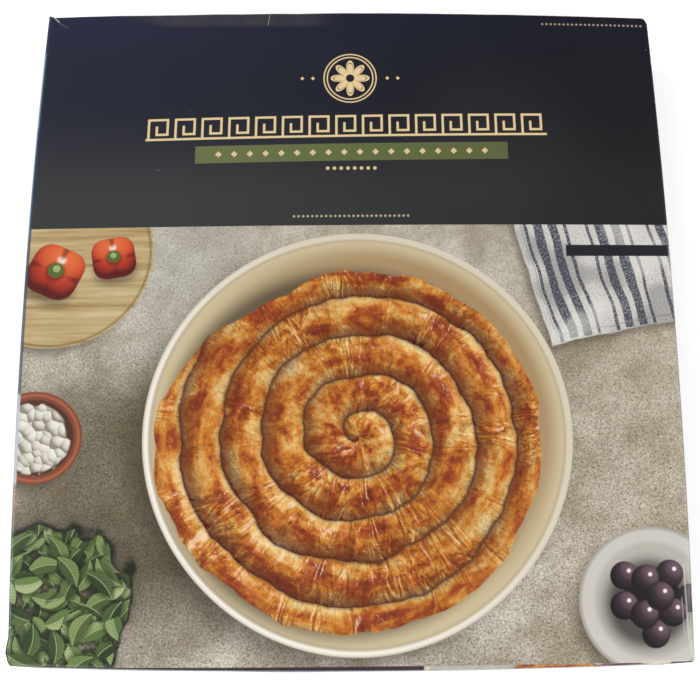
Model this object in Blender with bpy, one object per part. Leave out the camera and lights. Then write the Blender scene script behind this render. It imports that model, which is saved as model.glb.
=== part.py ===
"""Shut paperboard carton of a frozen spiral pie, lying on its back with the printed panel up.

The carton is a sleeve folded round the pie, closed at its left and right ends by glued flaps:
dust flaps innermost, then the lower flap, then the top flap, each one board thick. It is one
solid, because a shut carton can't be seen into. +Z is up out of the printed panel, +Y points to
the panel's top edge and +X to its right edge. The origin is under the middle of the carton.
"""

import bmesh
import bpy
from mathutils import Vector

# Driving dimensions, in metres.
PANEL_WIDTH = 0.280
PANEL_LENGTH = 0.294
WALL_HEIGHT = 0.044
BOARD = 0.0005
FOLD_RADIUS = 0.0012

# The full carton swells: how far each top edge bows out at its middle, the share of that bow
# left at the underside, the belly of a wall at half height, and the crown of the top panel.
BOW_LEFT = 0.0034
BOW_RIGHT = 0.0026
BOW_NEAR = 0.0026
BOW_FAR = 0.0026
UNDERSIDE_BOW = 0.6
WALL_BELLY = 0.0010
PANEL_CROWN = 0.0010

# Glued end flaps: the gap beside each flap, and the height of the top flap's free edge.
FLAP_SIDE_GAP = 0.0020
FLAP_FREE_EDGE = 0.0080
CUT_EDGE = 0.00004
END_BLEND = 0.0060

# Knocked corners: the far right one is pushed in, and the near left one bulges at its fold.
PUSHED_IN = 0.0007
BULGE_OUT = 0.0010
BULGE_LENGTH = 0.0120
BULGE_DEPTH = 0.0050

# Mesh divisions between the folds.
WIDTH_CELLS = 14
LENGTH_CELLS = 14
HEIGHT_CELLS = 4

HALF_WIDTH = PANEL_WIDTH / 2
HALF_LENGTH = PANEL_LENGTH / 2
FLAP_HALF_LENGTH = HALF_LENGTH - FLAP_SIDE_GAP

CARTON_COLOUR = (0.022, 0.022, 0.032, 1.0)
CARTON_ROUGHNESS = 0.35


def clear_scene():
    for item in list(bpy.data.objects):
        bpy.data.objects.remove(item, do_unlink=True)


def spaced(start, end, cells):
    return [start + (end - start) * step / cells for step in range(cells + 1)]


def with_folds(low, high, inner):
    """Stations from low to high, with one halfway round the fold at each end."""
    return [low, low + FOLD_RADIUS / 2, *inner, high - FOLD_RADIUS / 2, high]


def width_stations():
    reach = HALF_WIDTH - FOLD_RADIUS
    return with_folds(-HALF_WIDTH, HALF_WIDTH, spaced(-reach, reach, WIDTH_CELLS))


def length_stations():
    """Stations along the ends, with a close pair at each cut edge of the flaps."""
    reach = FLAP_HALF_LENGTH - CUT_EDGE
    edge = FLAP_HALF_LENGTH + CUT_EDGE
    bulge = [-HALF_LENGTH + BULGE_LENGTH / 2, -HALF_LENGTH + BULGE_LENGTH]
    inner = sorted([-edge, *spaced(-reach, reach, LENGTH_CELLS), edge, *bulge])
    return with_folds(-HALF_LENGTH, HALF_LENGTH, inner)


def height_stations():
    """Stations up the walls, with a close pair at the top flap's free edge."""
    above = spaced(FLAP_FREE_EDGE + CUT_EDGE, WALL_HEIGHT - BULGE_DEPTH, HEIGHT_CELLS)
    top = WALL_HEIGHT - FOLD_RADIUS
    inner = [FOLD_RADIUS, FLAP_FREE_EDGE - CUT_EDGE, *above, (above[-1] + top) / 2, top]
    return with_folds(0.0, WALL_HEIGHT, inner)


def clamp(value, low, high):
    return max(low, min(high, value))


def falloff(distance, reach):
    """1 at no distance, easing to 0 at the reach."""
    share = clamp(1 - distance / reach, 0, 1)
    return share * share * (3 - 2 * share)


def rounded(x, y, z):
    """A point of the sharp box moved onto the rounded folds."""
    core = Vector((
        clamp(x, FOLD_RADIUS - HALF_WIDTH, HALF_WIDTH - FOLD_RADIUS),
        clamp(y, FOLD_RADIUS - HALF_LENGTH, HALF_LENGTH - FOLD_RADIUS),
        clamp(z, FOLD_RADIUS, WALL_HEIGHT - FOLD_RADIUS),
    ))
    outward = Vector((x, y, z)) - core
    return core + outward.normalized() * FOLD_RADIUS


def end_recess(x, y, z):
    """How far the end lies inside the top flap's face: dust flaps deepest, then the lower flap."""
    if abs(y) > FLAP_HALF_LENGTH:
        pushed = PUSHED_IN if x > 0 and y > 0 else 0
        return 2 * BOARD + pushed
    if z < FLAP_FREE_EDGE:
        return BOARD
    return 0.0


def near_left_bulge(x, y, z):
    """How far the crushed corner stands out."""
    if x > 0:
        return 0.0
    along = falloff(abs(y + HALF_LENGTH - BULGE_LENGTH / 2), BULGE_LENGTH / 2)
    down = falloff(abs(WALL_HEIGHT - FOLD_RADIUS - z), BULGE_DEPTH)
    return BULGE_OUT * along * down


def swell(bow, level):
    """How far the middle of a wall stands out at a level from 0, the underside, to 1, the top."""
    share = UNDERSIDE_BOW + (1 - UNDERSIDE_BOW) * level
    return bow * share + WALL_BELLY * 4 * level * (1 - level)


def furthest_swell(bow):
    """The most that a wall of this bow stands out, at the level where its swell peaks."""
    peak = clamp(0.5 + bow * (1 - UNDERSIDE_BOW) / (8 * WALL_BELLY), 0, 1)
    return swell(bow, peak)


def centring():
    """The move that puts the origin under the middle of the unevenly swollen carton."""
    sideways = furthest_swell(BOW_LEFT) - furthest_swell(BOW_RIGHT)
    lengthways = furthest_swell(BOW_NEAR) - furthest_swell(BOW_FAR)
    return Vector((sideways / 2, lengthways / 2, 0))


def swollen(point, x, y, z):
    """The bows, bellies and crown of a full carton, for a point at x, y, z of the sharp box."""
    across = x / HALF_WIDTH
    along = y / HALF_LENGTH
    level = z / WALL_HEIGHT
    side_bow = BOW_RIGHT if x > 0 else BOW_LEFT
    length_bow = BOW_FAR if y > 0 else BOW_NEAR
    return point + Vector((
        across * (1 - along ** 2) * swell(side_bow, level),
        along * (1 - across ** 2) * swell(length_bow, level),
        level * (1 - across ** 2) * (1 - along ** 2) * PANEL_CROWN,
    ))


def on_carton(x, y, z):
    """Where a point of the sharp box lies on the finished carton."""
    point = rounded(x, y, z)
    at_end = falloff(HALF_WIDTH - abs(x), END_BLEND)
    inward = at_end * (end_recess(x, y, z) - near_left_bulge(x, y, z))
    point.x -= inward if x > 0 else -inward
    return swollen(point, x, y, z) + centring()


def lattice_surface(xs, ys, zs):
    """The closed surface of a box lattice, each of its points placed on the carton."""
    mesh = bmesh.new()
    placed = {}

    def vertex(i, j, k):
        if (i, j, k) not in placed:
            placed[i, j, k] = mesh.verts.new(on_carton(xs[i], ys[j], zs[k]))
        return placed[i, j, k]

    def face(*corners):
        mesh.faces.new([vertex(*corner) for corner in corners])

    right, far, top = len(xs) - 1, len(ys) - 1, len(zs) - 1
    for i in range(right):
        for j in range(far):
            face((i, j, top), (i + 1, j, top), (i + 1, j + 1, top), (i, j + 1, top))
            face((i, j, 0), (i, j + 1, 0), (i + 1, j + 1, 0), (i + 1, j, 0))
    for i in range(right):
        for k in range(top):
            face((i, 0, k), (i + 1, 0, k), (i + 1, 0, k + 1), (i, 0, k + 1))
            face((i, far, k), (i, far, k + 1), (i + 1, far, k + 1), (i + 1, far, k))
    for j in range(far):
        for k in range(top):
            face((right, j, k), (right, j + 1, k), (right, j + 1, k + 1), (right, j, k + 1))
            face((0, j, k), (0, j, k + 1), (0, j + 1, k + 1), (0, j + 1, k))
    return mesh


def board_material():
    material = bpy.data.materials.new("printed_board")
    material.use_nodes = True
    shader = material.node_tree.nodes["Principled BSDF"]
    shader.inputs["Base Color"].default_value = CARTON_COLOUR
    shader.inputs["Roughness"].default_value = CARTON_ROUGHNESS
    shader.inputs["Metallic"].default_value = 0.0
    return material


def build_carton():
    surface = lattice_surface(width_stations(), length_stations(), height_stations())
    mesh = bpy.data.meshes.new("carton")
    surface.to_mesh(mesh)
    surface.free()
    mesh.shade_smooth()
    mesh.set_sharp_from_angle(angle=0.6)
    mesh.materials.append(board_material())
    carton = bpy.data.objects.new("carton", mesh)
    bpy.context.scene.collection.objects.link(carton)
    return carton


clear_scene()
build_carton()
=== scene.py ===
"""The looks of a shut paperboard carton: its folded board, its print and its wear.

Lengths are in metres, except in the print, which is laid out in millimetres from the middle of
each panel, as the panel is read. The carton lies on its back: +Z is up out of the front panel,
+Y points to the panel's top edge and +X to its right edge.
"""

import math

import bmesh
import bpy
from mathutils import Euler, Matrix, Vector, noise


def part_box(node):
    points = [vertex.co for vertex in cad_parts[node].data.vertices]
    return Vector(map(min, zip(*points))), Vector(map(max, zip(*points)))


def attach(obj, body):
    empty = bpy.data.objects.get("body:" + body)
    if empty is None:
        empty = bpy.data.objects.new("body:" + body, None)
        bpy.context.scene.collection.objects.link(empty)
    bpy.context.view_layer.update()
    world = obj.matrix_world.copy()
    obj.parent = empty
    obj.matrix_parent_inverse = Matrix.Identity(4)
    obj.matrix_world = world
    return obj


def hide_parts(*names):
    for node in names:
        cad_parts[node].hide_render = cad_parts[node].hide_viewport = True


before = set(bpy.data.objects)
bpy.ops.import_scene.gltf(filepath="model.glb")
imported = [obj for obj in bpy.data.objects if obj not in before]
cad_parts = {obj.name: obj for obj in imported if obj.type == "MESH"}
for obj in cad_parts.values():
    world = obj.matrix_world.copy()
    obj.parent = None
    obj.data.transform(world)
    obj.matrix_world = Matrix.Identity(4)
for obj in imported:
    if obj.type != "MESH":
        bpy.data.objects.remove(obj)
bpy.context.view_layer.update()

MM = 0.001
NODE = "carton"

# The board, its flaps and the full carton's swell, as the part has them.
BOARD = 0.5 * MM
FOLD_RADIUS = 1.2 * MM
BOW_LEFT = 3.4 * MM
BOW_RIGHT = 2.6 * MM
BOW_NEAR = 2.6 * MM
BOW_FAR = 2.6 * MM
UNDERSIDE_BOW = 0.6
WALL_BELLY = 1.0 * MM
PANEL_CROWN = 1.0 * MM
FLAP_SIDE_GAP = 2.0 * MM
FLAP_FREE_EDGE = 8.0 * MM
CUT_EDGE = 0.04 * MM
END_BLEND = 6.0 * MM
PUSHED_IN = 0.7 * MM
BULGE_OUT = 1.0 * MM
BULGE_LENGTH = 12.0 * MM
BULGE_DEPTH = 5.0 * MM

# Knocks and warps that only the looks have.
CHAMFER_DEPTH = 1.3 * MM
CHAMFER_LENGTH = 3.0 * MM
WARP_DEPTH = 0.25 * MM
WARP_LENGTH = 70.0 * MM
FAR_WAVE = 0.3 * MM
FAR_WAVE_LENGTH = 14.0 * MM
DIP_SLOPE = 0.06
DIP_START = 138.6 * MM
DIP_LEFT = -112.0 * MM
DIP_RIGHT = -2.0 * MM
DIP_EASE = 22.0 * MM
DIP_SLANT = 2.5
TIP_LIFT = 0.8 * MM
TIP_REACH = 3.2 * MM
TIP_DIRECTION = (0, 0.6, 1)
CRUSH = 0.3 * MM
CRUSH_LENGTH = 16.0 * MM
WALL_DENT = 0.6 * MM
DENT_LENGTH = 34.0 * MM
FLAP_LIFT = 0.35 * MM
FLAP_LIFT_REACH = 7.0 * MM
FLAP_WAVE_LENGTH = 22.0 * MM
CREASE_X = 136.6 * MM
CREASE_Y = -125.0 * MM
CREASE_REACH = 30.0 * MM
CREASE_DROP = 0.5 * MM

# Finer shape, which the part leaves out.
CELL = 3.0 * MM
FOLD_CELLS = 4
FINE_CELL = 1.2 * MM
FINE_MARGIN = 12.0 * MM
SKIRT = 3.0 * MM
WRAP = 10.0 * MM
LOWER_FLAP_TOP = 20.0 * MM
SHARP_ANGLE = math.radians(40)

# Where the front's three bands of print meet: its foot, its body and its head.
FRONT_LIMITS = (-144.0 * MM, 45.6 * MM)


# ---------------------------------------------------------------- shape

def clamp(value, low, high):
    return max(low, min(high, value))


def falloff(distance, reach):
    """1 at no distance, easing to 0 at the reach."""
    share = clamp(1 - distance / reach, 0, 1)
    return share * share * (3 - 2 * share)


def swell(bow, level):
    """How far the middle of a wall stands out at a level from 0, the underside, to 1, the top."""
    share = UNDERSIDE_BOW + (1 - UNDERSIDE_BOW) * level
    return bow * share + WALL_BELLY * 4 * level * (1 - level)


def furthest_swell(bow):
    peak = clamp(0.5 + bow * (1 - UNDERSIDE_BOW) / (8 * WALL_BELLY), 0, 1)
    return swell(bow, peak)


low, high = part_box(NODE)
HALF_WIDTH = (high[0] - low[0] - furthest_swell(BOW_LEFT) - furthest_swell(BOW_RIGHT)) / 2
HALF_LENGTH = (high[1] - low[1] - furthest_swell(BOW_NEAR) - furthest_swell(BOW_FAR)) / 2
WALL_HEIGHT = high[2] - low[2] - PANEL_CROWN
FLAP_HALF_LENGTH = HALF_LENGTH - FLAP_SIDE_GAP
PANEL_SPLIT = WALL_HEIGHT - SKIRT
CENTRING = Vector((
    (furthest_swell(BOW_LEFT) - furthest_swell(BOW_RIGHT)) / 2,
    (furthest_swell(BOW_NEAR) - furthest_swell(BOW_FAR)) / 2,
    0,
))


def rounded(x, y, z):
    """A point of the sharp box moved onto the rounded folds."""
    core = Vector((
        clamp(x, FOLD_RADIUS - HALF_WIDTH, HALF_WIDTH - FOLD_RADIUS),
        clamp(y, FOLD_RADIUS - HALF_LENGTH, HALF_LENGTH - FOLD_RADIUS),
        clamp(z, FOLD_RADIUS, WALL_HEIGHT - FOLD_RADIUS),
    ))
    outward = Vector((x, y, z)) - core
    return core + outward.normalized() * FOLD_RADIUS


def dust_recess(x, y, z):
    """How far the dust flaps lie inside the top flap's face."""
    pushed = PUSHED_IN if x > 0 and y > 0 else 0
    return 2 * BOARD + pushed


def lower_recess(x, y, z):
    return BOARD


def top_recess(x, y, z):
    """The top flap lies outermost, and its free edge stands off a little between its glue spots."""
    wave = noise.noise(Vector((y / FLAP_WAVE_LENGTH, x / MM, 7.0))) * 0.5 + 0.5
    return -FLAP_LIFT * wave * falloff(z - FLAP_FREE_EDGE, FLAP_LIFT_REACH)


def panel_recess(x, y, z):
    """The big panels reach full width at their corners, and narrow below them to the dust flaps."""
    if abs(y) < FLAP_HALF_LENGTH:
        return lower_recess(x, y, z) if z < WALL_HEIGHT / 2 else 0.0
    below_fold = min(z, WALL_HEIGHT - z) / SKIRT
    return 2 * BOARD * clamp(below_fold, 0, 1)


def near_left_bulge(x, y, z):
    if x > 0:
        return 0.0
    along = falloff(abs(y + HALF_LENGTH - BULGE_LENGTH / 2), BULGE_LENGTH / 2)
    down = falloff(abs(WALL_HEIGHT - FOLD_RADIUS - z), BULGE_DEPTH)
    return BULGE_OUT * along * down


def swollen(point, x, y, z):
    """The bows, bellies and crown of a full carton, for a point at x, y, z of the sharp box."""
    across = x / HALF_WIDTH
    along = y / HALF_LENGTH
    level = z / WALL_HEIGHT
    side_bow = BOW_RIGHT if x > 0 else BOW_LEFT
    length_bow = BOW_FAR if y > 0 else BOW_NEAR
    return point + Vector((
        across * (1 - along ** 2) * swell(side_bow, level),
        along * (1 - across ** 2) * swell(length_bow, level),
        level * (1 - across ** 2) * (1 - along ** 2) * PANEL_CROWN,
    ))


def knocks(x, y, z):
    """The finer warps, dips and knocks of a handled carton, for a point of the sharp box."""
    moved = Vector()
    near_top = falloff(WALL_HEIGHT - z, SKIRT)
    warp = noise.noise(Vector((x, y, 0)) / WARP_LENGTH) * 0.5 + 0.5
    inside_folds = (1 - (x / HALF_WIDTH) ** 2) * (1 - (y / HALF_LENGTH) ** 2)
    moved.z -= near_top * inside_folds * WARP_DEPTH * warp
    wave = noise.noise(Vector((x / FAR_WAVE_LENGTH, 3.0, 0))) * 0.5 + 0.5
    moved.y -= falloff(HALF_LENGTH - y, END_BLEND) * near_top * FAR_WAVE * wave
    diagonal = DIP_LEFT + DIP_SLANT * (HALF_LENGTH - y)
    across_dip = clamp((x - diagonal) / DIP_EASE, 0, 1) * clamp((DIP_RIGHT - x) / DIP_EASE, 0, 1)
    moved.z -= near_top * max(0, y - DIP_START) * DIP_SLOPE * across_dip
    tip = falloff(math.hypot(x + HALF_WIDTH, y - HALF_LENGTH), TIP_REACH)
    moved += near_top * tip * TIP_LIFT * Vector(TIP_DIRECTION)
    if x > 0 and y > 0:
        moved.x -= CHAMFER_DEPTH * clamp(1 - (HALF_LENGTH - y) / CHAMFER_LENGTH, 0, 1) * near_top
    if x < 0 and y < 0:
        coarse = noise.noise(Vector((y * 420, z * 300, 5.0)))
        fine = noise.noise(Vector((y * 900, z * 500, 9.0)))
        ragged = coarse + fine
        at_fold = falloff(HALF_WIDTH + x, END_BLEND) * near_top
        moved.x += at_fold * falloff(y + HALF_LENGTH, CRUSH_LENGTH) * CRUSH * ragged
    beyond = clamp((x - CREASE_X) / (HALF_WIDTH - CREASE_X), 0, 1)
    moved.z -= near_top * beyond * CREASE_DROP * falloff(abs(y - CREASE_Y), CREASE_REACH)
    return moved - wall_dents(x, y, z)


def wall_dents(x, y, z):
    """Shallow dents in the walls, which fade out at every fold."""
    level = z / WALL_HEIGHT
    uneven = noise.noise(Vector((x, y, z)) / DENT_LENGTH) * 0.5 + 0.5
    dent = WALL_DENT * 4 * level * (1 - level) * uneven
    at_end = falloff(HALF_WIDTH - abs(x), END_BLEND) * (1 - (y / HALF_LENGTH) ** 4)
    at_long_wall = falloff(HALF_LENGTH - abs(y), END_BLEND) * (1 - (x / HALF_WIDTH) ** 4)
    return Vector((math.copysign(dent * at_end, x), math.copysign(dent * at_long_wall, y), 0))


def on_carton(x, y, z, recess):
    """Where a point of the sharp box lies on the finished carton."""
    point = rounded(x, y, z)
    at_end = falloff(HALF_WIDTH - abs(x), END_BLEND)
    inward = at_end * (recess(x, y, z) - near_left_bulge(x, y, z))
    point.x -= inward if x > 0 else -inward
    return swollen(point, x, y, z) + knocks(x, y, z) + CENTRING


def spaced(start, end, cell=CELL):
    cells = max(1, round((end - start) / cell))
    return [start + (end - start) * step / cells for step in range(cells + 1)]


def up_to_fold(start, end, cell=CELL):
    """Stations from start to a fold at end, closer together near the fold and round it."""
    margin = max(start, end - FINE_MARGIN)
    flat = spaced(start, margin, cell)[:-1] if margin > start else []
    flat += spaced(margin, end - FOLD_RADIUS, FINE_CELL)
    return flat + [end - FOLD_RADIUS * (1 - step / FOLD_CELLS) for step in range(1, FOLD_CELLS + 1)]


def mirrored(stations):
    return [-value for value in reversed(stations)]


def between_folds(half):
    right = up_to_fold(0, half)
    return mirrored(right)[:-1] + right


def sheet_lengths():
    """Stations along a sheet, with a close pair at each cut edge of the flaps."""
    margin = HALF_LENGTH - FINE_MARGIN
    flat = spaced(0, margin)[:-1] + spaced(margin, FLAP_HALF_LENGTH - CUT_EDGE, FINE_CELL)
    far = flat + up_to_fold(FLAP_HALF_LENGTH + CUT_EDGE, HALF_LENGTH)
    return mirrored(far)[:-1] + far


def quads(counts, side):
    """The corners, as lattice indices, of each cell on one side of a box lattice."""
    across = {"left": 0, "right": 0, "near": 1, "far": 1}.get(side, 2)
    level = counts[across] if side in ("right", "far", "top") else 0
    rows, columns = counts[:across] + counts[across + 1:]
    backwards = side in ("bottom", "far", "left")
    cells = []
    for i in range(rows):
        for j in range(columns):
            square = ((i, j), (i + 1, j), (i + 1, j + 1), (i, j + 1))
            cell = [corner[:across] + (level,) + corner[across:] for corner in square]
            cells.append(cell[::-1] if backwards else cell)
    return cells


def unfolded(side, x, y, past_fold):
    """Millimetres on a print that runs on over its folds."""
    x += {"left": -past_fold, "right": past_fold}.get(side, 0)
    y += {"near": -past_fold, "far": past_fold}.get(side, 0)
    return x / MM, y / MM


def up_wall(z):
    return (z - WALL_HEIGHT / 2) / MM


def front_print(side, x, y, z):
    return unfolded(side, x, y, WALL_HEIGHT - z)


def back_print(side, x, y, z):
    across, along = unfolded(side, x, y, z)
    return -across, along


def near_print(side, x, y, z):
    return unfolded(side, x, y, y + HALF_LENGTH)[0], up_wall(z)


def far_print(side, x, y, z):
    return -unfolded(side, x, y, HALF_LENGTH - y)[0], up_wall(z)


def right_print(side, x, y, z):
    return y / MM, up_wall(z)


def left_print(side, x, y, z):
    return -y / MM, up_wall(z)


def middle_of(cell, stations):
    """The middle of a lattice cell on the sharp box."""
    corners = [[axis[index] for axis, index in zip(stations, corner)] for corner in cell]
    return [sum(values) / len(values) for values in zip(*corners)]


SIDES = ("top", "bottom", "near", "far", "left", "right")
PRINT_MAP = "print"
BAKE_MAP = "OFBake"
BAKE_EDGE = 0.02
BAKE_MARGIN = 0.004


def bake_spot(at, box):
    """A print position's place on the bake's map, above the strip kept for the raw board."""
    u = (at[0] - box[0]) / (box[2] - box[0])
    v = (at[1] - box[1]) / (box[3] - box[1])
    return BAKE_MARGIN + (1 - 2 * BAKE_MARGIN) * u, BAKE_EDGE + (1 - BAKE_MARGIN - BAKE_EDGE) * v


def add_object(name, data):
    made = bpy.data.objects.new(name, data)
    bpy.context.scene.collection.objects.link(made)
    return made


def board_sheet(name, stations, covers, recess, layout, raw, prints, limits=()):
    """A sheet of board with printed outer faces, raw inner faces and raw cut edges.

    The sheet has the cells of the box lattice that it covers, by side and middle point. Its
    prints are bands of its length, which meet at the limits.
    """
    surface = bmesh.new()
    print_map = surface.loops.layers.uv.new(PRINT_MAP)
    bake_map = surface.loops.layers.uv.new(BAKE_MAP)
    xs, ys, zs = stations
    counts = [len(axis) - 1 for axis in stations]
    placed = {}
    printed = []

    def vertex(corner):
        if corner not in placed:
            i, j, k = corner
            placed[corner] = surface.verts.new(on_carton(xs[i], ys[j], zs[k], recess))
        return placed[corner]

    for side in SIDES:
        for cell in quads(counts, side):
            middle = middle_of(cell, stations)
            if not covers(side, *middle):
                continue
            face = surface.faces.new([vertex(corner) for corner in cell])
            face.material_index = 1 + sum(middle[1] > limit for limit in limits)
            spots = [layout(side, xs[i], ys[j], zs[k]) for i, j, k in cell]
            printed.append((face, spots))
    us = [spot[0] for _, spots in printed for spot in spots]
    vs = [spot[1] for _, spots in printed for spot in spots]
    box = (min(us), min(vs), max(us), max(vs))
    for face, spots in printed:
        for loop, spot in zip(face.loops, spots):
            loop[print_map].uv = spot
            loop[bake_map].uv = bake_spot(spot, box)
    line_with_board(surface)
    mesh = bpy.data.meshes.new(name)
    surface.to_mesh(mesh)
    surface.free()
    for material in (raw, *prints):
        mesh.materials.append(material)
    mesh.shade_smooth()
    mesh.set_sharp_from_angle(angle=SHARP_ANGLE)
    piece = add_object(name, mesh)
    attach(piece, "root")
    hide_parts(NODE)
    return piece


def line_with_board(surface):
    """Gives a printed surface the board's thickness, with raw inner faces and edges."""
    surface.normal_update()
    outer_faces = list(surface.faces)
    borders = [edge for edge in surface.edges if edge.is_boundary]
    bake_map = surface.loops.layers.uv[BAKE_MAP]
    inner = {v: surface.verts.new(v.co - v.normal * BOARD) for v in list(surface.verts)}
    raw = [surface.faces.new([inner[v] for v in reversed(face.verts)]) for face in outer_faces]
    for edge in borders:
        loop = edge.link_loops[0]
        first, second = loop.vert, loop.link_loop_next.vert
        raw.append(surface.faces.new([second, first, inner[first], inner[second]]))
    for face in raw:
        face.material_index = 0
        for loop in face.loops:
            spot = loop.vert.co / (4 * HALF_LENGTH)
            loop[bake_map].uv = (0.5 + spot.x + spot.y, 0.25 * BAKE_EDGE + spot.z * BAKE_EDGE)


# ---------------------------------------------------------------- materials

class Field:
    """A number at each point of a surface, worked out by a material's nodes."""

    def __init__(self, tree, socket):
        self.tree = tree
        self.socket = socket

    def calc(self, operation, *others):
        node = self.tree.nodes.new("ShaderNodeMath")
        node.operation = operation
        for entry, value in zip(node.inputs, (self, *others)):
            feed(self.tree, entry, value)
        return Field(self.tree, node.outputs[0])

    def __add__(self, other):
        return self.calc("ADD", other)

    def __sub__(self, other):
        return self.calc("SUBTRACT", other)

    def __rsub__(self, other):
        return self.calc("MULTIPLY_ADD", -1, other)

    def __mul__(self, other):
        return self.calc("MULTIPLY", other)

    def __truediv__(self, other):
        return self.calc("DIVIDE", other)

    def __neg__(self):
        return self.calc("MULTIPLY", -1)

    def __abs__(self):
        return self.calc("ABSOLUTE")

    __radd__ = __add__
    __rmul__ = __mul__


def feed(tree, entry, value):
    """Puts a field, a socket or a plain value into a node's socket."""
    if isinstance(value, Field):
        value = value.socket
    if isinstance(value, bpy.types.NodeSocket):
        tree.links.new(value, entry)
    else:
        entry.default_value = value


def lesser(a, b):
    return a.calc("MINIMUM", b)


def greater(a, b):
    return a.calc("MAXIMUM", b)


def ease(value, start, end):
    """0 at start, easing to 1 at end."""
    node = value.tree.nodes.new("ShaderNodeMapRange")
    node.interpolation_type = "SMOOTHSTEP"
    feed(value.tree, node.inputs[0], value)
    node.inputs[1].default_value = start
    node.inputs[2].default_value = end
    return Field(value.tree, node.outputs[0])


def vector_of(x, y, z):
    node = x.tree.nodes.new("ShaderNodeCombineXYZ")
    for entry, value in zip(node.inputs, (x, y, z)):
        feed(x.tree, entry, value)
    return node.outputs[0]


def grain(tree, at, scale, detail=2.0, roughness=0.5, distortion=0.0):
    """Noise of about 0 to 1 in the space of a vector socket."""
    node = tree.nodes.new("ShaderNodeTexNoise")
    feed(tree, node.inputs["Vector"], at)
    looks = {"Scale": scale, "Detail": detail, "Roughness": roughness, "Distortion": distortion}
    for label, value in looks.items():
        node.inputs[label].default_value = value
    return Field(tree, node.outputs[0])


def linear(hex_colour):
    """A colour such as C98C41, as it looks on screen, in the linear values that nodes take."""
    parts = [int(hex_colour[start:start + 2], 16) / 255 for start in (0, 2, 4)]
    return tuple(((c + 0.055) / 1.055) ** 2.4 if c > 0.04045 else c / 12.92 for c in parts)


def blend_colours(tree, share, first, second):
    node = tree.nodes.new("ShaderNodeMix")
    node.data_type = "RGBA"
    feed(tree, node.inputs[0], share)
    for entry, value in ((node.inputs[6], first), (node.inputs[7], second)):
        feed(tree, entry, (*linear(value), 1) if isinstance(value, str) else value)
    return node.outputs[2]


def ramp(value, stops):
    """A colour that runs through stops, each a value and a colour, as a field grows."""
    node = value.tree.nodes.new("ShaderNodeValToRGB")
    feed(value.tree, node.inputs[0], value)
    elements = node.color_ramp.elements
    while len(elements) < len(stops):
        elements.new(1.0)
    for element, (position, colour) in zip(elements, stops):
        element.position = position
        element.color = (*linear(colour), 1)
    return node.outputs[0]


def brightened(tree, colour, amount):
    """A colour times a field."""
    node = tree.nodes.new("ShaderNodeMix")
    node.data_type = "RGBA"
    node.clamp_factor = False
    feed(tree, node.inputs[0], amount)
    node.inputs[6].default_value = (0, 0, 0, 1)
    feed(tree, node.inputs[7], colour)
    return node.outputs[2]


class Place:
    """A position on the print, in millimetres, from which shapes are measured."""

    def __init__(self, x, y):
        self.x = x
        self.y = y
        self.tree = x.tree

    def about(self, x, y, turn=0.0):
        """This position seen from a centre, turned by an angle in degrees."""
        dx, dy = self.x - x, self.y - y
        if not turn:
            return Place(dx, dy)
        c, s = math.cos(math.radians(turn)), math.sin(math.radians(turn))
        return Place(dx * c + dy * s, dy * c - dx * s)

    def shrunk(self, by):
        return Place(self.x / by, self.y / by)

    def radius(self):
        return (self.x * self.x + self.y * self.y).calc("SQRT")

    def angle(self):
        return self.y.calc("ARCTAN2", self.x)

    def towards_light(self):
        return self.x * LIGHT[0] + self.y * LIGHT[1]

    def vector(self, z=0.0):
        return vector_of(self.x, self.y, z)

    def grain(self, z, *looks):
        return grain(self.tree, self.vector(z), *looks)


def disc(at, radius):
    """Distance outside a disc, in millimetres, negative inside it."""
    return at.radius() - radius


def bar(at, half_x, half_y):
    """Distance outside an upright rectangle."""
    return greater(abs(at.x) - half_x, abs(at.y) - half_y)


PRINT_EDGE = 0.16


def inside(distance, edge=PRINT_EDGE):
    """1 inside a shape and 0 outside it, with an edge as sharp as print."""
    return ease(distance, edge, -edge)


class Print:
    """The colour of a printed surface, laid down one ink over another."""

    def __init__(self, tree, base):
        self.tree = tree
        self.colour = (*linear(base), 1) if isinstance(base, str) else base

    def lay(self, mask, colour):
        self.colour = blend_colours(self.tree, mask, self.colour, colour)

    def shade(self, mask, colour, strength):
        self.lay(mask * strength, colour)

    def fill(self, shape, colour, edge=PRINT_EDGE):
        """Lays a colour inside a shape, which is given as the distance outside it."""
        self.lay(inside(shape, edge), colour)

    def tint(self, shape, colour, strength, edge=PRINT_EDGE):
        self.shade(inside(shape, edge), colour, strength)


def print_place(tree):
    """The print position of each point of a surface."""
    uv = tree.nodes.new("ShaderNodeUVMap")
    uv.uv_map = PRINT_MAP
    split = tree.nodes.new("ShaderNodeSeparateXYZ")
    tree.links.new(uv.outputs[0], split.inputs[0])
    return Place(Field(tree, split.outputs[0]), Field(tree, split.outputs[1]))


def new_material(name):
    material = bpy.data.materials.new(name)
    material.use_nodes = True
    shader = material.node_tree.nodes["Principled BSDF"]
    return material, material.node_tree, shader


NAVY = "1A1A25"
STONE = "A9A295"
GOLD = "DFC594"
SOFT_GOLD = "D2BE8F"
DULL_GOLD = "B3A488"
FADED_GOLD = "9E8F7C"
CREAM = "E6DCC6"
STRIP_GREEN = "575E38"
# Pale blue-grey on the folds: painted highlight, broken in patches where the print is rubbed.
FOLD_HIGHLIGHT_AND_WEAR = "A9B8BE"
# The board's pale fibre where the print is worn off; also the colour of painted highlight streaks on
# a crease.
BARE_BOARD_AND_GLINT = "D4D0CC"

# The light in the pictures, from the upper right, and the print's own places and sizes.
LIGHT = (0.50, 0.46, 0.73)
PANEL_REACH_X = 140.0
PANEL_REACH_Y = 147.0
HEADER_FOOT = 42.1
PRINT_SKEW = 0.0062
TITLE_SKEW = 0.0103
STRIP_REACH = (69.8, 4.15)
LOZENGE_PITCH = 7.0
BROAD_KEY = (2.4, 0.52)
FINE_KEY = (2.0, 0.45)


# ---- the picture: a coiled pie seen from straight above, on a plate on a stone table

PIE = (3.0, -52.0)
PIE_TURN = -62.0
COIL_PITCH = 17.2
COIL_TURNS = 4.65
PLATE_RADIUS = 90.0


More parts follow.
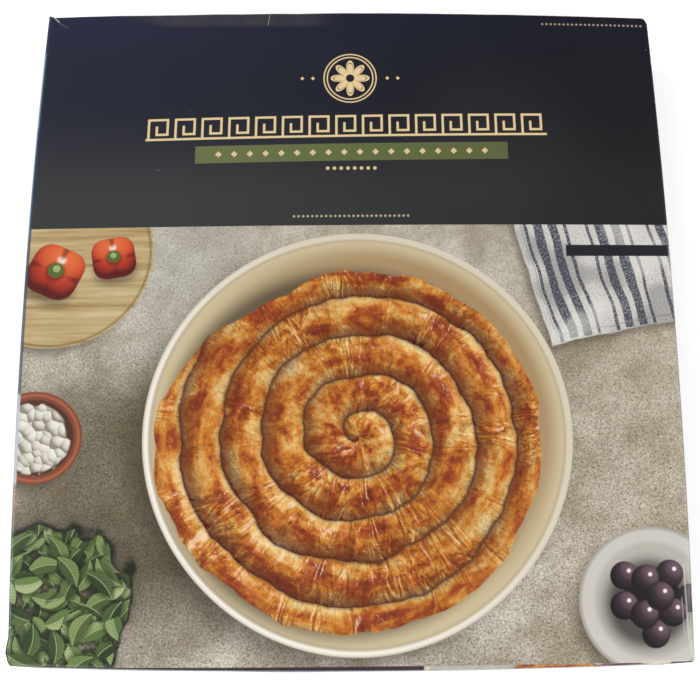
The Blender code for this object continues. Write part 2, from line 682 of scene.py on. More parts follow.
def cast_shadow(ink, distance, soft, strength):
    """Darkens what lies near a shape moved away from the light."""
    ink.shade(ease(distance, soft, -soft), "2F281B", strength)


def lay_table(ink, at):
    """Rough grey stone, sharper towards the foot, and brown at the lower left of the plate."""
    broad = at.grain(0.0, 0.016, 3.0, 0.55)
    patches = at.grain(4.0, 0.05, 4.0, 0.62)
    specks = at.grain(9.0, 1.25, 2.0, 0.8)
    ink.colour = blend_colours(ink.tree, ease(patches, 0.3, 0.7), "9B917F", "C1BAAC")
    ink.shade(ease(at.x, 40.0, 130.0), "A08C72", 0.35)
    ink.shade(ease(broad, 0.48, 0.68), "80725A", 0.6)
    ink.shade(ease(disc(at.about(-70.0, 22.0), 5.0), 45.0, 0.0), "BDBCB6", 0.4)
    ink.shade(ease(disc(at.about(-84.0, -77.0), 28.0), 55.0, 0.0), "4E442A", 0.8)
    ink.shade(ease(specks, 0.6, 0.78), "5E574A", 0.5)
    sharpness = ease(at.y, 60.0, -70.0) * 1.6 + 1.2
    ink.colour = brightened(ink.tree, ink.colour, 1 - (specks - 0.5) * sharpness)


def lay_plate(ink, at):
    """A round cream plate with a raised rim, and its shadow on the table."""
    pie = at.about(*PIE)
    cast_shadow(ink, disc(pie.about(-6.0, -6.5), PLATE_RADIUS - 2.0), 9.0, 0.72)
    facing = pie.towards_light() / PLATE_RADIUS
    rim = disc(pie, PLATE_RADIUS)
    ink.fill(rim, "CFC4B0", 0.3)
    ink.shade(inside(abs(rim + 1.5) - 0.7, 0.6) * ease(facing, 0.5, -0.6), "EFEAE0", 0.9)
    ink.fill(rim + 2.8, "A8977A", 0.8)
    ink.tint(rim + 3.4, "C9B995", 0.85, 1.0)
    well = disc(pie, PLATE_RADIUS - 9.0)
    ink.shade(ease(well, 6.0, -3.0) * ease(facing, -0.5, 0.7), "8F6B3C", 0.75)
    cast_shadow(ink, disc(pie.about(-5.0, -4.5), PLATE_RADIUS - 12.0), 5.0, 0.8)


def round_roll(wound):
    """The share of a roll's width, from 0 to 1, and its surface's lean and height there."""
    share = wound.calc("FRACT")
    lean = (share * 2 - 1) * 0.97
    return share, lean, (1 - lean * lean).calc("SQRT")


def lay_coil(ink, at):
    """The coiled pie: one long roll of pastry, wound outwards from the middle."""
    pie = at.about(*PIE, PIE_TURN)
    radius = pie.radius()
    turn = pie.angle() / (2 * math.pi)
    slow = pie.grain(2.0, 0.034, 2.0, 0.5) - 0.5
    quick = pie.grain(5.0, 0.16, 2.0, 0.5) - 0.5
    wound = (radius + slow * 10.0 + quick * 2.2) / COIL_PITCH + turn
    share, lean, height = round_roll(wound)
    tail = ease(turn, -0.5, -0.3)
    outer = (wound - (COIL_TURNS - 1.0) - tail) * COIL_PITCH

    # The nearest point of the roll's middle line, so that wrinkles run across the roll.
    spine = (radius - (share - 0.5) * COIL_PITCH) / radius
    middle = Place(pie.x * spine, pie.y * spine)
    turned = math.radians(PIE_TURN)
    light_x = LIGHT[0] * math.cos(turned) + LIGHT[1] * math.sin(turned)
    light_y = LIGHT[1] * math.cos(turned) - LIGHT[0] * math.sin(turned)

    def wrinkles(place):
        fold = place.grain(share * 6.0 - 3.0, 0.15, 3.0, 0.5, 1.0)
        return abs(fold - 0.5)

    def flakes(place):
        return place.grain(7.0, 0.42, 3.0, 0.65, 0.6)

    outward = (pie.x * light_x + pie.y * light_y) / radius
    ridge = wrinkles(middle)
    gathered = ease(middle.grain(8.0, 0.05, 1.0), 0.4, 0.62) + 0.25
    emboss = (ridge - wrinkles(middle.about(light_x * 0.9, light_y * 0.9))) * gathered
    crackle = flakes(pie) - flakes(pie.about(light_x * 0.6, light_y * 0.6))
    lit = height * LIGHT[2] + lean * outward * 0.95 + emboss * 3.1 + crackle * 1.3

    ring = (radius + 8.0) / 4.5
    patches = pie.shrunk(ring).grain(radius * 0.14, 1.0, 4.0, 0.62)
    bake = patches * 1.75 + flakes(pie) * 0.4 + height * 0.5 + slow * 0.5 - 0.99
    shades = ((0.0, "E0CA98"), (0.26, "DAB068"), (0.5, "C67B28"), (0.72, "9A4219"), (1.0, "64240E"))
    crust = ramp(bake, shades)
    pastry = Print(ink.tree, brightened(ink.tree, crust, lit.calc("MULTIPLY_ADD", 0.8, 0.32)))
    pastry.shade(ease(lit, 0.74, 0.25), "6E2810", 0.55)
    pastry.shade(ease(lit, 0.92, 1.25) * ease(ridge, 0.01, 0.07), "E0D2B6", 0.6)
    pastry.shade(ease(ridge, 0.02, 0.0) * gathered * height, "5C2A13", 0.55)
    pastry.shade(ease(height, 0.66, 0.15), "4E220D", 0.92)
    ink.fill(outer, pastry.colour, 0.35)


# ---- what stands round the plate

def ball_light(at, radius):
    """The light on a ball: 1 where it faces the light."""
    spot = at.shrunk(radius)
    height = (1 - lesser(spot.x * spot.x + spot.y * spot.y, 1)).calc("SQRT")
    return height * LIGHT[2] + spot.towards_light()


def lay_ball(ink, at, radius, shades):
    """A round fruit lit from one side: dark, middle and light, with a glint and a shadow."""
    dark, middle, light = shades
    cast_shadow(ink, disc(at.about(-0.3 * radius, -0.3 * radius), radius * 0.9), 0.3 * radius, 0.6)
    colour = ramp(ball_light(at, radius), ((0.0, dark), (0.5, middle), (1.0, light)))
    ink.fill(disc(at, radius), colour, 0.3)
    glint = disc(at.about(0.36 * radius, 0.34 * radius), 0.13 * radius)
    ink.tint(glint, "F3EFE8", 0.85, 0.1 * radius)


def lay_wood_board(ink, at):
    """A round board of pale wood with two red peppers."""
    board = disc(at, 43.0)
    cast_shadow(ink, disc(at.about(-3.0, -3.5), 42.0), 4.0, 0.7)
    lines = grain(ink.tree, vector_of(at.x * 0.02, at.y * 0.35, 3.0), 1.0, 4.0, 0.6, 0.4)
    wood = ramp(lines, ((0.3, "94764A"), (0.5, "B39C6F"), (0.7, "C6B48C")))
    ink.fill(board, wood, 0.3)
    ink.tint(abs(board + 1.2) - 0.5, "7D6238", 0.7, 0.4)
    lay_pepper(ink, at.about(1.0, -8.0, 20.0), 12.5)
    lay_pepper(ink, at.about(26.0, -2.0, 55.0), 10.0)


def lay_pepper(ink, at, radius):
    """A red pepper seen from its stalk: four lobes with a groove between each two."""
    lobes = (at.angle() * 4).calc("COSINE")
    bulge = lobes * 0.07 + 1
    body = at.shrunk(bulge)
    lay_ball(ink, body, radius, ("561410", "B0351F", "DB6A38"))
    outwards = ease(at.radius(), 0.25 * radius, 0.75 * radius) * inside(disc(body, radius - 0.3))
    ink.shade(ease(lobes, -0.75, -1.0) * outwards, "4A100C", 0.6)
    ink.tint(disc(at, 0.36 * radius), "4A100C", 0.6, 1.0)
    ink.fill(disc(at.about(0.05 * radius, 0.05 * radius), 0.27 * radius), "4F6430", 0.3)
    ink.fill(disc(at.about(0.09 * radius, 0.09 * radius), 0.13 * radius), "98A768", 0.3)


def lay_leaf_heap(ink, at):
    """A loose heap of small green leaves."""
    spread = at.grain(3.0, 0.04, 2.0, 0.5) - 0.5
    heap = disc(at, 37.0) + spread * 30.0
    cast_shadow(ink, heap.calc("ADD", -2.0), 9.0, 0.6)
    for scale, offset in ((0.10, 0.0), (0.09, 31.0), (0.083, 67.0), (0.078, 113.0)):
        lay_leaves(ink, at.about(offset, offset), scale, heap + 1.5)


def lay_leaves(ink, at, scale, edge):
    """A scatter of pointed leaves, each with a pale rib and one side in shade."""
    cell, chance = scattered(at, scale, 1.0)
    angle = chance.x * (2 * math.pi)
    x, y = cell.x, cell.y
    along = x * angle.calc("COSINE") + y * angle.calc("SINE")
    side = y * angle.calc("COSINE") - x * angle.calc("SINE") + along * along * 0.03
    taper = 1 - (along / 7.6) * (along / 7.6)
    leaf = abs(side) - taper * 3.3
    veins = abs((along * 2.1 - abs(side) * 1.8).calc("SINE"))
    light = chance.y * 0.45 + ease(side, -1.2, 1.2) * 0.25 + veins * 0.1 + 0.05
    colour = ramp(light, ((0.1, "222E17"), (0.4, "45592F"), (0.65, "71884D"), (0.9, "B5BE90")))
    covered = inside(greater(leaf, edge), 0.3)
    ink.tint(greater(leaf - 1.5, edge - 1.5), "151A0D", 0.65, 1.4)
    ink.lay(covered, colour)
    ink.shade(covered * inside(abs(side) - 0.15, 0.25), "C3CA9E", 0.55)


def scattered(at, scale, randomness):
    """The position seen from the middle of the nearest of many scattered things, and its chances."""
    tree = at.tree
    cells = tree.nodes.new("ShaderNodeTexVoronoi")
    cells.inputs["Scale"].default_value = scale
    cells.inputs["Randomness"].default_value = randomness
    feed(tree, cells.inputs["Vector"], at.vector())
    places = []
    for output in ("Position", "Color"):
        split = tree.nodes.new("ShaderNodeSeparateXYZ")
        tree.links.new(cells.outputs[output], split.inputs[0])
        places.append(Place(Field(tree, split.outputs[0]), Field(tree, split.outputs[1])))
    middle, chance = places
    return Place(at.x - middle.x, at.y - middle.y), chance


def lay_cloth(ink, at):
    """A white linen cloth with groups of narrow blue stripes."""
    yarn = at.grain(0.0, 1.1, 3.0, 0.7)
    sway = at.grain(6.0, 0.03, 2.0, 0.5) - 0.5
    cloth = Place(at.x + sway * 7.0, at.y + sway * 7.0)
    outline = bar(cloth.about(40.0, 40.0), 40.0, 40.0) + (yarn - 0.5) * 1.2
    cast_shadow(ink, bar(cloth.about(38.0, 38.0), 40.0, 40.0), 3.0, 0.6)
    ink.fill(outline, ramp(yarn, ((0.3, "A8A6A4"), (0.5, "C6C2BC"), (0.7, "D8D4CC"))), 0.4)
    group = abs(cloth.x.calc("WRAP", 26.0, 0.0) - 13.0)
    stripes = lesser(abs(group - 3.2) - 1.9, abs(group - 8.4) - 0.7)
    threads = ease(yarn, 0.62, 0.46) * 0.35 + 0.6
    ink.lay(inside(greater(stripes, outline + 0.5)) * threads, "2E3349")
    ink.tint(abs(outline + 3.0) - 0.25, "8E8B88", 0.6)
    ink.shade(ease(sway, 0.01, 0.12) * inside(outline, 0.4), "3A3A42", 0.4)
    ink.shade(ease(sway, -0.02, -0.12) * inside(outline, 0.4), "EEEBE4", 0.35)


GRAPES = 9
GRAPE_RADIUS = 5.8
GOLDEN_ANGLE = math.radians(137.5)


def lay_grape_dish(ink, at):
    """A small white dish of dark grapes."""
    cast_shadow(ink, disc(at.about(-3.0, -3.5), 29.0), 4.5, 0.7)
    rim = disc(at, 30.0)
    ink.fill(rim, "A29C92", 0.3)
    ink.fill(rim + 1.2, "C4BFB7", 0.8)
    ink.fill(rim + 6.5, "B2ACA2", 1.6)
    ink.shade(ease(disc(at.about(-1.5, -1.5), 17.0), 5.0, -3.0), "1C1513", 0.85)
    covered, lit = inside(disc(at, 12.0)), at.x * 0
    for step in range(GRAPES):
        reach = GRAPE_RADIUS * 0.94 * math.sqrt(GRAPES - step - 0.5)
        angle = step * GOLDEN_ANGLE
        grape = at.about(reach * math.cos(angle), reach * math.sin(angle))
        here = inside(disc(grape, GRAPE_RADIUS), 0.3)
        glint = inside(disc(grape.about(2.0, 1.9), 0.7), 0.6)
        shine = (ball_light(grape, GRAPE_RADIUS) + glint) * 0.6
        lit = lit + (shine - lit) * here
        covered = greater(covered, here)
    colours = ((0.0, "120D10"), (0.35, "33242B"), (0.62, "6C525C"), (0.95, "E4DEE2"))
    ink.lay(covered, ramp(lit, colours))


def lay_cheese_bowl(ink, at):
    """A terracotta bowl of crumbled white cheese."""
    cast_shadow(ink, disc(at.about(-3.0, -3.0), 19.0), 4.0, 0.7)
    rim = disc(at, 20.0)
    ink.fill(rim, "7A402B", 0.3)
    ink.tint(abs(rim + 1.5) - 0.6, "A9603F", 0.8, 0.6)
    ink.fill(rim + 3.6, "4A2A1E", 0.5)
    crumb, chance = scattered(at, 0.24, 0.9)
    lit = (crumb.x + crumb.y) * 0.16 + chance.x * 0.25 + 0.45 - crumb.radius() * 0.12
    cheese = ramp(lit, ((0.0, "8A8273"), (0.35, "C0BAAC"), (0.8, "E2DED4")))
    uneven = (chance.y - 0.5) * 2.0
    ink.fill(disc(at.about(-0.8, -0.8), 15.0) + uneven, cheese, 0.6)


def lay_surroundings(ink, at):
    lay_table(ink, at)
    lay_wood_board(ink, at.about(-128.0, 30.0))
    lay_cheese_bowl(ink, at.about(-132.0, -52.0))
    lay_leaf_heap(ink, at.about(-124.0, -124.0))
    lay_grape_dish(ink, at.about(123.0, -122.0))
    lay_cloth(ink, at.about(86.0, -14.0, 14.0))
    lay_plate(ink, at)


# ---- the header

def lay_key_band(ink, at, half_width, pitch, stroke):
    """A Greek key border: square hooks standing on a base line, four pitches high."""
    unit = 5 * pitch
    cell = Place((at.x + half_width).calc("WRAP", unit, 0.0), at.y)
    lines = (
        (0.5, 2.0, 0.0, 2.0),
        (2.25, 4.0, 1.75, 0.0),
        (4.0, 2.5, 0.0, 1.5),
        (3.0, 1.0, 1.0, 0.0),
        (2.0, 1.75, 0.0, 0.75),
    )
    hooks = abs(at.y) - stroke
    for x, y, half_x, half_y in lines:
        line = bar(cell.about(x * pitch, y * pitch), half_x * pitch + stroke, half_y * pitch + stroke)
        hooks = lesser(hooks, line)
    ink.fill(greater(hooks, abs(at.x) - half_width), GOLD)


def lay_rosette(ink, at, radius):
    """A round eight-petalled rosette in a double ring, between two lines of diamonds."""
    petals = (abs((at.angle() * 4).calc("COSINE")) * 0.40 + 0.34) * radius
    flower = at.radius() - petals
    rings = abs(abs(at.radius() - radius * 0.93) - 0.75) - 0.3
    ink.fill(lesser(flower, rings), GOLD)
    ink.fill(disc(at, radius * 0.16), NAVY)
    ink.fill(abs(flower + radius * 0.11) - 0.2, NAVY)
    row = Place(abs(at.x) - radius - 5.0, abs(at.y))
    step = Place(abs(row.x.calc("WRAP", 3.2, -1.6)), row.y)
    diamonds = greater(step.x + step.y - 0.9, abs(row.x - 2.2) - 3.9)
    ink.fill(diamonds, GOLD)


def lay_beads(ink, at, half_width, pitch, colour):
    """A short row of small beads."""
    bead = Place(at.x.calc("WRAP", pitch, 0.0) - pitch / 2, at.y)
    ink.fill(greater(disc(bead, 0.27 * pitch), abs(at.x) - half_width), colour)


def lay_lozenges(ink, at):
    """A row of eighteen small lozenges."""
    row = Place(at.x.calc("WRAP", LOZENGE_PITCH, 0.0) - LOZENGE_PITCH / 2, at.y)
    lozenge = abs(row.x) + abs(row.y) - 1.5
    ink.fill(greater(lozenge, abs(at.x) - 9 * LOZENGE_PITCH), SOFT_GOLD)


def header_ground(tree, at):
    """The header's dark ground: bluer at its head, lighter at the left partly from print and partly
    from painted sheen, with a painted reflection right of the middle, and its lowest beads.
    """
    foot = blend_colours(tree, ease(at.x, -95.0, 175.0), "353536", "18171A")
    head = blend_colours(tree, ease(at.x, -150.0, 120.0), "22253C", "0B0D1D")
    header = Print(tree, blend_colours(tree, ease(at.y, 106.0, 56.0), head, foot))
    header.shade(ease(abs(at.y - 102.0), 50.0, 5.0), "131300", 0.36)
    # Painted reflection: a soft lighter patch right of the middle.
    header.shade(ease(disc(at.about(66.0, 84.0), 12.0), 42.0, 0.0), "444446", 0.11)
    lay_beads(header, at.about(0.6, 46.4), 26.0, 2.0, DULL_GOLD)
    return header


def lay_front_head(ink, at, flat):
    """The header, with a green strip of lozenges and plain gold ornament."""
    header = header_ground(ink.tree, at)
    lay_rosette(header, at.about(0.5, 113.2), 12.0)
    rising = Place(at.x, at.y - at.x * TITLE_SKEW)
    lay_key_band(header, rising.about(-1.0, 84.8), 90.0, *BROAD_KEY)
    green = blend_colours(ink.tree, ease(at.x, -80.0, 80.0), "636C43", STRIP_GREEN)
    strip = rising.about(1.2, 76.9)
    header.fill(bar(strip, *STRIP_REACH), green)
    lay_lozenges(header, strip)
    lay_beads(header, at.about(0.8, 69.1), 12.0, 3.0, SOFT_GOLD)
    lay_beads(header, at.about(113.5, 141.3), 24.0, 2.0, FADED_GOLD)
    ink.colour = header.colour


def lay_front_body(ink, at, flat):
    """The picture with its bare dark label, under the header's foot."""
    lay_surroundings(ink, at)
    lay_coil(ink, at)
    header = header_ground(ink.tree, at)
    ink.lay(ease(at.y, HEADER_FOOT - PRINT_EDGE, HEADER_FOOT + PRINT_EDGE), header.colour)
    ink.fill(bar(at.about(116.7, 30.0), 22.4, 2.6), "1C1A20")


PICTURE_FOOT = 145.4
WIDEST_X = 20.0
FOOT_BOW = 0.00009


def lay_front_foot(ink, at, flat):
    """The picture's foot, which the near wall's own print meets short of the fold."""
    lay_surroundings(ink, at)
    wall = Print(ink.tree, NAVY)
    lay_near_picture(wall, Place(flat.x, flat.y + (HALF_LENGTH + WALL_HEIGHT / 2) / MM))
    from_widest = flat.x - WIDEST_X
    over_fold = -flat.y - PICTURE_FOOT - from_widest * from_widest * FOOT_BOW
    ink.fill(-over_fold, wall.colour)


# ---- the walls and the back

def lay_small_coil(ink, pie, patches):
    """A small coiled pie, browned in patches."""
    radius = pie.radius() + (pie.grain(2.0, 0.13, 2.0) - 0.5) * 4.0
    cast_shadow(ink, disc(pie.about(-2.0, -2.0), 25.0), 4.0, 0.7)
    lean, height = round_roll(radius / 6.5 + pie.angle() / (2 * math.pi))[1:]
    ring = radius / 8.0
    creases = pie.shrunk(ring).grain(radius * 0.3, 1.0, 3.0, 0.65)
    uneven = (creases - 0.5) * 0.8 + (patches - 0.5) * 0.8
    bake = height * 0.6 + lean * pie.towards_light() / radius * 0.35 + uneven
    crust = ramp(bake, ((0.0, "2A130A"), (0.25, "6A371A"), (0.5, "9F5C28"), (0.85, "CE995A")))
    ink.fill(radius - 25.5, crust, 0.3)


def lay_near_picture(ink, at):
    """A small picture of a pie, a dark red bowl and a cream dish, with thin marks beside it."""
    patches = at.grain(3.0, 0.25, 5.0, 0.75)
    scene = Print(ink.tree, ramp(patches, ((0.3, "857F7C"), (0.65, "B4AEA6"))))
    scene.shade(ease(at.y, 20.8, 22.4), "B9B1A0", 0.5)
    dish = disc(at.about(125.5, 9.0), 14.0)
    cast_shadow(scene, disc(at.about(124.0, 7.5), 13.5), 3.0, 0.6)
    scene.fill(dish, "CFC3A4", 0.3)
    scene.fill(dish + 3.0, "B3A88C", 0.6)
    bowl = disc(at.about(109.5, 11.0), 14.0)
    cast_shadow(scene, disc(at.about(108.0, 9.5), 13.5), 3.0, 0.6)
    scene.fill(bowl, "64424C", 0.3)
    scene.tint(abs(bowl + 1.3) - 0.5, "8A6468", 0.7, 0.4)
    scene.fill(bowl + 2.8, "3E2830", 0.4)
    lay_small_coil(scene, at.about(83.0, 3.0), patches)
    ink.fill(bar(at.about(79.5, 2.0), 50.5, 22.0), scene.colour)
    ink.fill(bar(at.about(-26.0, 23.1), 55.0, 0.18), "5C1E2C")
    ink.tint(disc(at.about(30.5, 22.4), 0.9), "D8CDB4", 0.9, 0.4)


def lay_near_wall(ink, at):
    lay_near_picture(ink, at)
    lay_key_band(ink, at.about(-56.0, -4.0), 70.0, *FINE_KEY)


def lay_far_wall(ink, at):
    lay_key_band(ink, at.about(0.0, -4.0), 90.0, *FINE_KEY)


def lay_flap(ink, at):
    strip = at.about(0.0, 6.0)
    ink.fill(bar(strip, *STRIP_REACH), STRIP_GREEN)
    lay_lozenges(ink, strip)
    lay_free_edge(ink, at)


def lay_back(ink, at):
    """Navy, with the header's ornament over a plain cream field."""
    lay_rosette(ink, at.about(0.0, 114.4), 12.0)
    lay_key_band(ink, at.about(0.0, 86.8), 90.0, *BROAD_KEY)
    field = bar(at.about(0.0, -40.0), 118.0, 88.0)
    ink.fill(field, CREAM)
    ink.fill(abs(field + 3.0) - 0.4, STRIP_GREEN)
    ink.fill(bar(at.about(0.0, 60.0), 118.0, 4.4), STRIP_GREEN)


# ---- wear, and painted highlight and sheen

def streak(at, start, end, half_width):
    """Distance outside a thin straight mark."""
    dx, dy = end[0] - start[0], end[1] - start[1]
    length = math.hypot(dx, dy)
    line = at.about(*start, math.degrees(math.atan2(dy, dx)))
    past_end = greater(abs(line.x - length / 2) - length / 2, line.y * 0)
    return greater(past_end, abs(line.y)) - half_width


def lay_left_fold(ink, at, rub):
    """The left fold from head to foot: steel-blue and pale lines of painted highlight, broken where
    rubbed, and the wall's own colours.
    """
    fold = at.x + PANEL_REACH_X
    on_fold = ease(fold, -1.3, -1.0)
    # Each stretch: foot, head, inner edge, colour and strength. The steel-blue, blue and pale
    # stretches down to -34 are painted highlight on the fold.
    stretches = (
        (-34.0, 147.2, 1.6, "22364E", 0.85),
        (36.0, 92.0, 0.8, "4F6E8A", 0.8),
        (90.0, 128.0, 0.9, "7F96A4", 0.75),
        (-34.0, 147.2, 0.0, FOLD_HIGHLIGHT_AND_WEAR, 0.8),
        (-73.0, -34.0, 1.5, "AEB3C0", 0.95),
        (-87.0, -73.5, 0.6, "B4735A", 0.85),
        (-133.0, -87.0, 0.0, "5A4C4C", 0.7),
        (-150.0, -133.0, 0.6, "161A24", 0.85),
    )
    for foot, head, inner_edge, colour, strength in stretches:
        length = ease(at.y, foot - 1.5, foot + 1.5) * ease(at.y, head + 0.8, head - 0.8)
        width = ease(fold, inner_edge + 0.35, inner_edge - 0.25)
        ink.shade(on_fold * length * width * ease(rub, -0.9, -0.3), colour, strength)


def lay_front_wear_and_sheen(ink, at):
    """Cracked and rubbed print, mostly along the folds and at the corners, with painted highlight on
    the folds and a crease, and a painted sheen at the head's upper left.
    """
    runs = at.grain(0.0, 0.11, 3.0, 0.6)
    flecks = at.grain(5.0, 1.4, 3.0, 0.75)
    rub = (runs - 0.5) * 1.4 + (flecks - 0.5) * 1.6
    lay_left_fold(ink, at, rub)
    right_fold = ease(abs(at.x - 140.6), 0.5, 0.1)
    ink.shade(right_fold * ease(rub, 0.1, 0.5), BARE_BOARD_AND_GLINT, 0.5)
    ink.shade(ease(at.x, 139.0, 139.6) * ease(at.y, -143.6, -144.6), BARE_BOARD_AND_GLINT, 0.9)
    # Painted highlight along the far fold, in patches where the print is rubbed.
    far_fold = ease(abs(at.y - 147.2), 0.5, 0.25)
    ink.shade(far_fold * ease(rub, -0.1, 0.6), FOLD_HIGHLIGHT_AND_WEAR, 0.8)
    # Painted sheen: a lighter band along the head's edge at the upper left, over the dip.
    past_diagonal = at.x + at.y * 2.5 - 255.5
    painted_sheen = ease(past_diagonal, 0.0, 22.0) * ease(at.x, -2.0, -24.0) * ease(at.y, 138.6, 141.5)
    ink.shade(painted_sheen * (runs * 0.5 + 0.05), "584E4E", 1.0)
    near_fold = ease(abs(at.y + 147.3), 0.5, 0.1)
    ink.shade(near_fold * ease(rub, 0.15, 0.5), BARE_BOARD_AND_GLINT, 0.4)
    # Thin marks: start, end, half width and strength. The two along the crease near the lower right
    # corner are painted highlight; the others are cracks and scuffs to the bare board.
    cracks_and_glints = (
        ((-138.2, 147.4), (-134.7, 143.9), 0.20, 0.9),
        ((-134.3, 143.2), (-130.6, 140.9), 0.10, 0.22),
        ((-36.8, 146.0), (-37.6, 140.4), 0.10, 0.5),
        ((136.8, -107.6), (137.6, -138.0), 0.30, 0.5),
        ((135.4, -121.0), (135.9, -136.0), 0.20, 0.35),
        ((139.6, 124.4), (139.8, 122.6), 0.15, 0.6),
        ((135.0, 147.3), (138.2, 147.0), 0.20, 0.6),
    )
    for start, end, half_width, strength in cracks_and_glints:
        mark = streak(at, start, end, half_width) + (flecks - 0.5) * 0.5
        ink.tint(mark, BARE_BOARD_AND_GLINT, strength, 0.2)
    dust = at.grain(13.0, 0.75, 1.0, 0.5)
    ink.shade(ease(dust, 0.80, 0.84), "9A9AA4", 0.5)


def lay_wall_wear(ink, at):
    """Dusty smears between a wall's folds, and flecks chipped out of its print."""
    smears = grain(ink.tree, vector_of(at.x * 0.015, at.y * 0.08, 17.0), 1.0, 4.0, 0.7, 0.6)
    between_folds = ease(abs(at.y), 18.5, 9.0)
    ink.shade(ease(smears, 0.46, 0.72) * between_folds, "7B7D88", 0.12)
    flecks = at.grain(5.0, 1.4, 3.0, 0.75)
    ink.shade(ease(flecks, 0.70, 0.76), BARE_BOARD_AND_GLINT, 0.3)


def lay_free_edge(ink, at):
    """Pale fibre along the top flap's cut edge, and the gap's shade on the flap behind it."""
    above = at.y - (FLAP_FREE_EDGE - WALL_HEIGHT / 2) / MM
    runs = at.grain(29.0, 0.2, 3.0, 0.7)
    ink.shade(inside(abs(above - 0.1) - 0.1, 0.2) * ease(runs, 0.30, 0.65), BARE_BOARD_AND_GLINT, 0.6)
    ink.shade(ease(above, -1.3, -0.2) * ease(above, 0.0, -0.1), "050509", 0.85)


def finish_print(ink, shader, at):
    """Coated board: fine fibre under a semi-gloss coat, with handling smears in the gloss."""
    tree = ink.tree
    feed(tree, shader.inputs["Base Color"], ink.colour)
    fibre = at.grain(0.0, 2.2, 3.0, 0.6)
    smears = at.grain(3.0, 0.03, 3.0, 0.6)
    roughness = smears * 0.14 + fibre * 0.06 + 0.20
    feed(tree, shader.inputs["Roughness"], roughness)
    bump = tree.nodes.new("ShaderNodeBump")
    bump.inputs["Strength"].default_value = 0.10
    bump.inputs["Distance"].default_value = 0.1 * MM
    feed(tree, bump.inputs["Height"], fibre)
    tree.links.new(bump.outputs[0], shader.inputs["Normal"])


def front_material(name, lay_band):
    """The front's print over one band of its length, with the walls' navy past its edges."""
    material, tree, shader = new_material(name)
    flat = print_place(tree)
    ink = Print(tree, STONE)
    lay_band(ink, Place(flat.x, flat.y - flat.x * PRINT_SKEW), flat)
    over_edge = greater(abs(flat.x) - PANEL_REACH_X - 0.4, flat.y - PANEL_REACH_Y - 0.6)
    ink.fill(-over_edge, NAVY)
    lay_front_wear_and_sheen(ink, flat)
    finish_print(ink, shader, flat)
    return material


def wall_material(name, lay):
    """Navy board with the print that a painter function lays on it."""
    material, tree, shader = new_material(name)
    at = print_place(tree)
    ink = Print(tree, NAVY)
    lay(ink, at)
    lay_wall_wear(ink, at)
    finish_print(ink, shader, at)
    return material


def raw_board():
    """Uncoated grey-white fibre."""
    material, tree, shader = new_material("raw_board")
    place = tree.nodes.new("ShaderNodeTexCoord").outputs["Object"]
    fibre = grain(tree, place, 900.0, 3.0, 0.6)
    feed(tree, shader.inputs["Base Color"], blend_colours(tree, fibre, "A39C90", "D6D1C6"))
    shader.inputs["Roughness"].default_value = 0.85
    return material


# ---------------------------------------------------------------- pieces

def on_panel(face):
    """The front or back with its margin past the folds, which at the ends is as long as a flap."""

    def covers(side, x, y, z):
        if side in ("left", "right"):
            return abs(y) < FLAP_HALF_LENGTH
        return side in (face, "near", "far")

    return covers


def on_long_wall(wall):
    """A near or far wall, and the dust flaps that fold in from its ends behind the end flaps."""
    return lambda side, x, y, z: side in ("left", "right") or side == wall and SKIRT < z < PANEL_SPLIT


def on_end(end):
    return lambda side, x, y, z: side == end


def make_carton():
    raw = raw_board()
    bands = (
        front_material("front_foot", lay_front_foot),
        front_material("front_body", lay_front_body),
        front_material("front_head", lay_front_head),
    )
    widths = between_folds(HALF_WIDTH)
    lengths = sheet_lengths()
    front_heights = [PANEL_SPLIT] + up_to_fold(PANEL_SPLIT, WALL_HEIGHT, 1 * MM)[1:]
    back_heights = [WALL_HEIGHT - z for z in reversed(front_heights)]
    board_sheet("front_panel", (widths, lengths, front_heights), on_panel("top"),
                panel_recess, front_print, raw, bands, FRONT_LIMITS)
    board_sheet("back_panel", (widths, lengths, back_heights), on_panel("bottom"),
                panel_recess, back_print, raw, [wall_material("back_print", lay_back)])
    wall_heights = [BOARD, *spaced(SKIRT, PANEL_SPLIT), WALL_HEIGHT - BOARD]
    near_lengths = mirrored(up_to_fold(HALF_LENGTH - WRAP, HALF_LENGTH))
    board_sheet("near_wall", (widths, near_lengths, wall_heights), on_long_wall("near"),
                dust_recess, near_print, raw, [wall_material("near_print", lay_near_wall)])
    board_sheet("far_wall", (widths, mirrored(near_lengths), wall_heights), on_long_wall("far"),
                dust_recess, far_print, raw, [wall_material("far_print", lay_far_wall)])
    flap = wall_material("flap_print", lay_flap)
    flap_lengths = spaced(-FLAP_HALF_LENGTH, FLAP_HALF_LENGTH)
    flaps = (
        ("_top_flap", spaced(FLAP_FREE_EDGE, PANEL_SPLIT), top_recess),
        ("_lower_flap", spaced(SKIRT, LOWER_FLAP_TOP), lower_recess),
    )
    for end, x, layout in (("left", -HALF_WIDTH, left_print), ("right", HALF_WIDTH, right_print)):
        for name, heights, recess in flaps:
            board_sheet(end + name, ([x, x], flap_lengths, heights), on_end(end),
                        recess, layout, raw, [flap])


# ---------------------------------------------------------------- stage

LENS_MM = 64.52
SENSOR_MM = 36.0
CAMERA_AT = (-0.0069, -0.1579, 0.5255 + WALL_HEIGHT)
CAMERA_TURN = (15.252, -0.668, -0.33)

SOFTBOX_REACH = 1.7
SOFTBOX_HEIGHT = 1.7
SOFTBOX_SIZE = 1.1
FLOOR_REACH = 1.5
FLOOR_GLOW = 0.35
WORLD_LIGHT = 0.24
WORLD_SHOWN = 0.76
SOFTBOXES = (
    ("left_light", 175, 25),
    ("near_left_light", 235, 17.5),
    ("near_right_light", 305, 17.5),
    ("right_light", 0, 16),
)


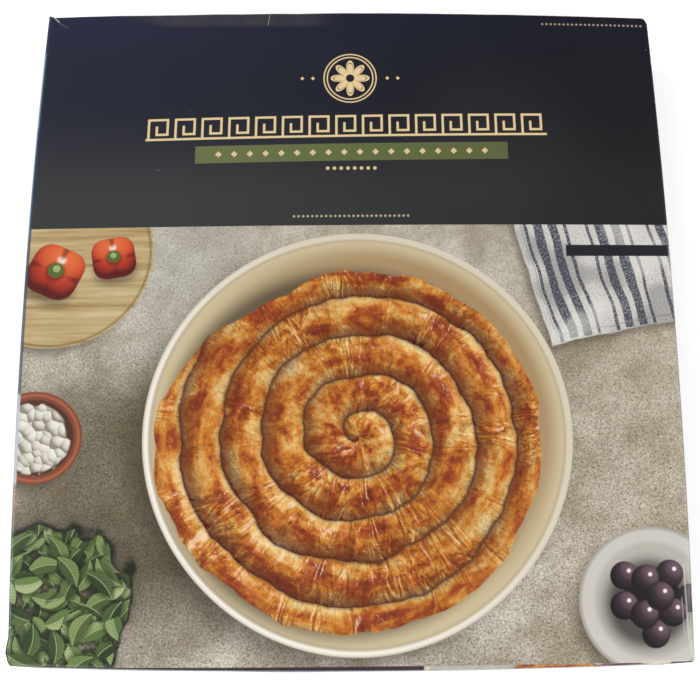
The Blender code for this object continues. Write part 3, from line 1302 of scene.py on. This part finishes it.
def make_camera():
    data = bpy.data.cameras.new("camera")
    data.lens = LENS_MM
    data.sensor_width = SENSOR_MM
    data.clip_start = 0.01
    camera = add_object("camera", data)
    camera.location = CAMERA_AT
    camera.rotation_euler = Euler([math.radians(angle) for angle in CAMERA_TURN])
    bpy.context.scene.camera = camera


def camera_rays(tree):
    """1 for what the camera sees straight on, and 0 for what lights or shows in the carton."""
    return Field(tree, tree.nodes.new("ShaderNodeLightPath").outputs["Is Camera Ray"])


def make_floor():
    mesh = bpy.data.meshes.new("floor")
    corners = [(x * FLOOR_REACH, y * FLOOR_REACH, 0) for x, y in ((-1, -1), (1, -1), (1, 1), (-1, 1))]
    mesh.from_pydata(corners, [], [(0, 1, 2, 3)])
    material, tree, shader = new_material("floor")
    shader.inputs["Base Color"].default_value = (0.97, 0.97, 0.97, 1)
    shader.inputs["Roughness"].default_value = 0.9
    shader.inputs["Specular IOR Level"].default_value = 0.1
    shader.inputs["Emission Color"].default_value = (1, 1, 1, 1)
    feed(tree, shader.inputs["Emission Strength"], camera_rays(tree) * FLOOR_GLOW)
    mesh.materials.append(material)
    add_object("floor", mesh)


def make_softbox(name, azimuth, power):
    """A square soft light on one side of the carton, facing it."""
    data = bpy.data.lights.new(name, "AREA")
    data.size = SOFTBOX_SIZE
    data.energy = power
    light = add_object(name, data)
    x, y = math.cos(math.radians(azimuth)), math.sin(math.radians(azimuth))
    light.location = (SOFTBOX_REACH * x, SOFTBOX_REACH * y, SOFTBOX_HEIGHT)
    light.rotation_euler = (-light.location).to_track_quat("-Z", "Y").to_euler()


def make_lights():
    """Soft light all round but from behind, where it would glare on the front."""
    world = bpy.data.worlds.new("studio")
    world.use_nodes = True
    background = world.node_tree.nodes["Background"]
    background.inputs[0].default_value = (0.97, 0.985, 1.0, 1)
    strength = camera_rays(world.node_tree).calc("MULTIPLY_ADD", WORLD_SHOWN, WORLD_LIGHT)
    feed(world.node_tree, background.inputs[1], strength)
    bpy.context.scene.world = world
    for softbox in SOFTBOXES:
        make_softbox(*softbox)


make_camera()
make_floor()
make_lights()
make_carton()
bpy.context.scene.view_settings.view_transform = "Standard"
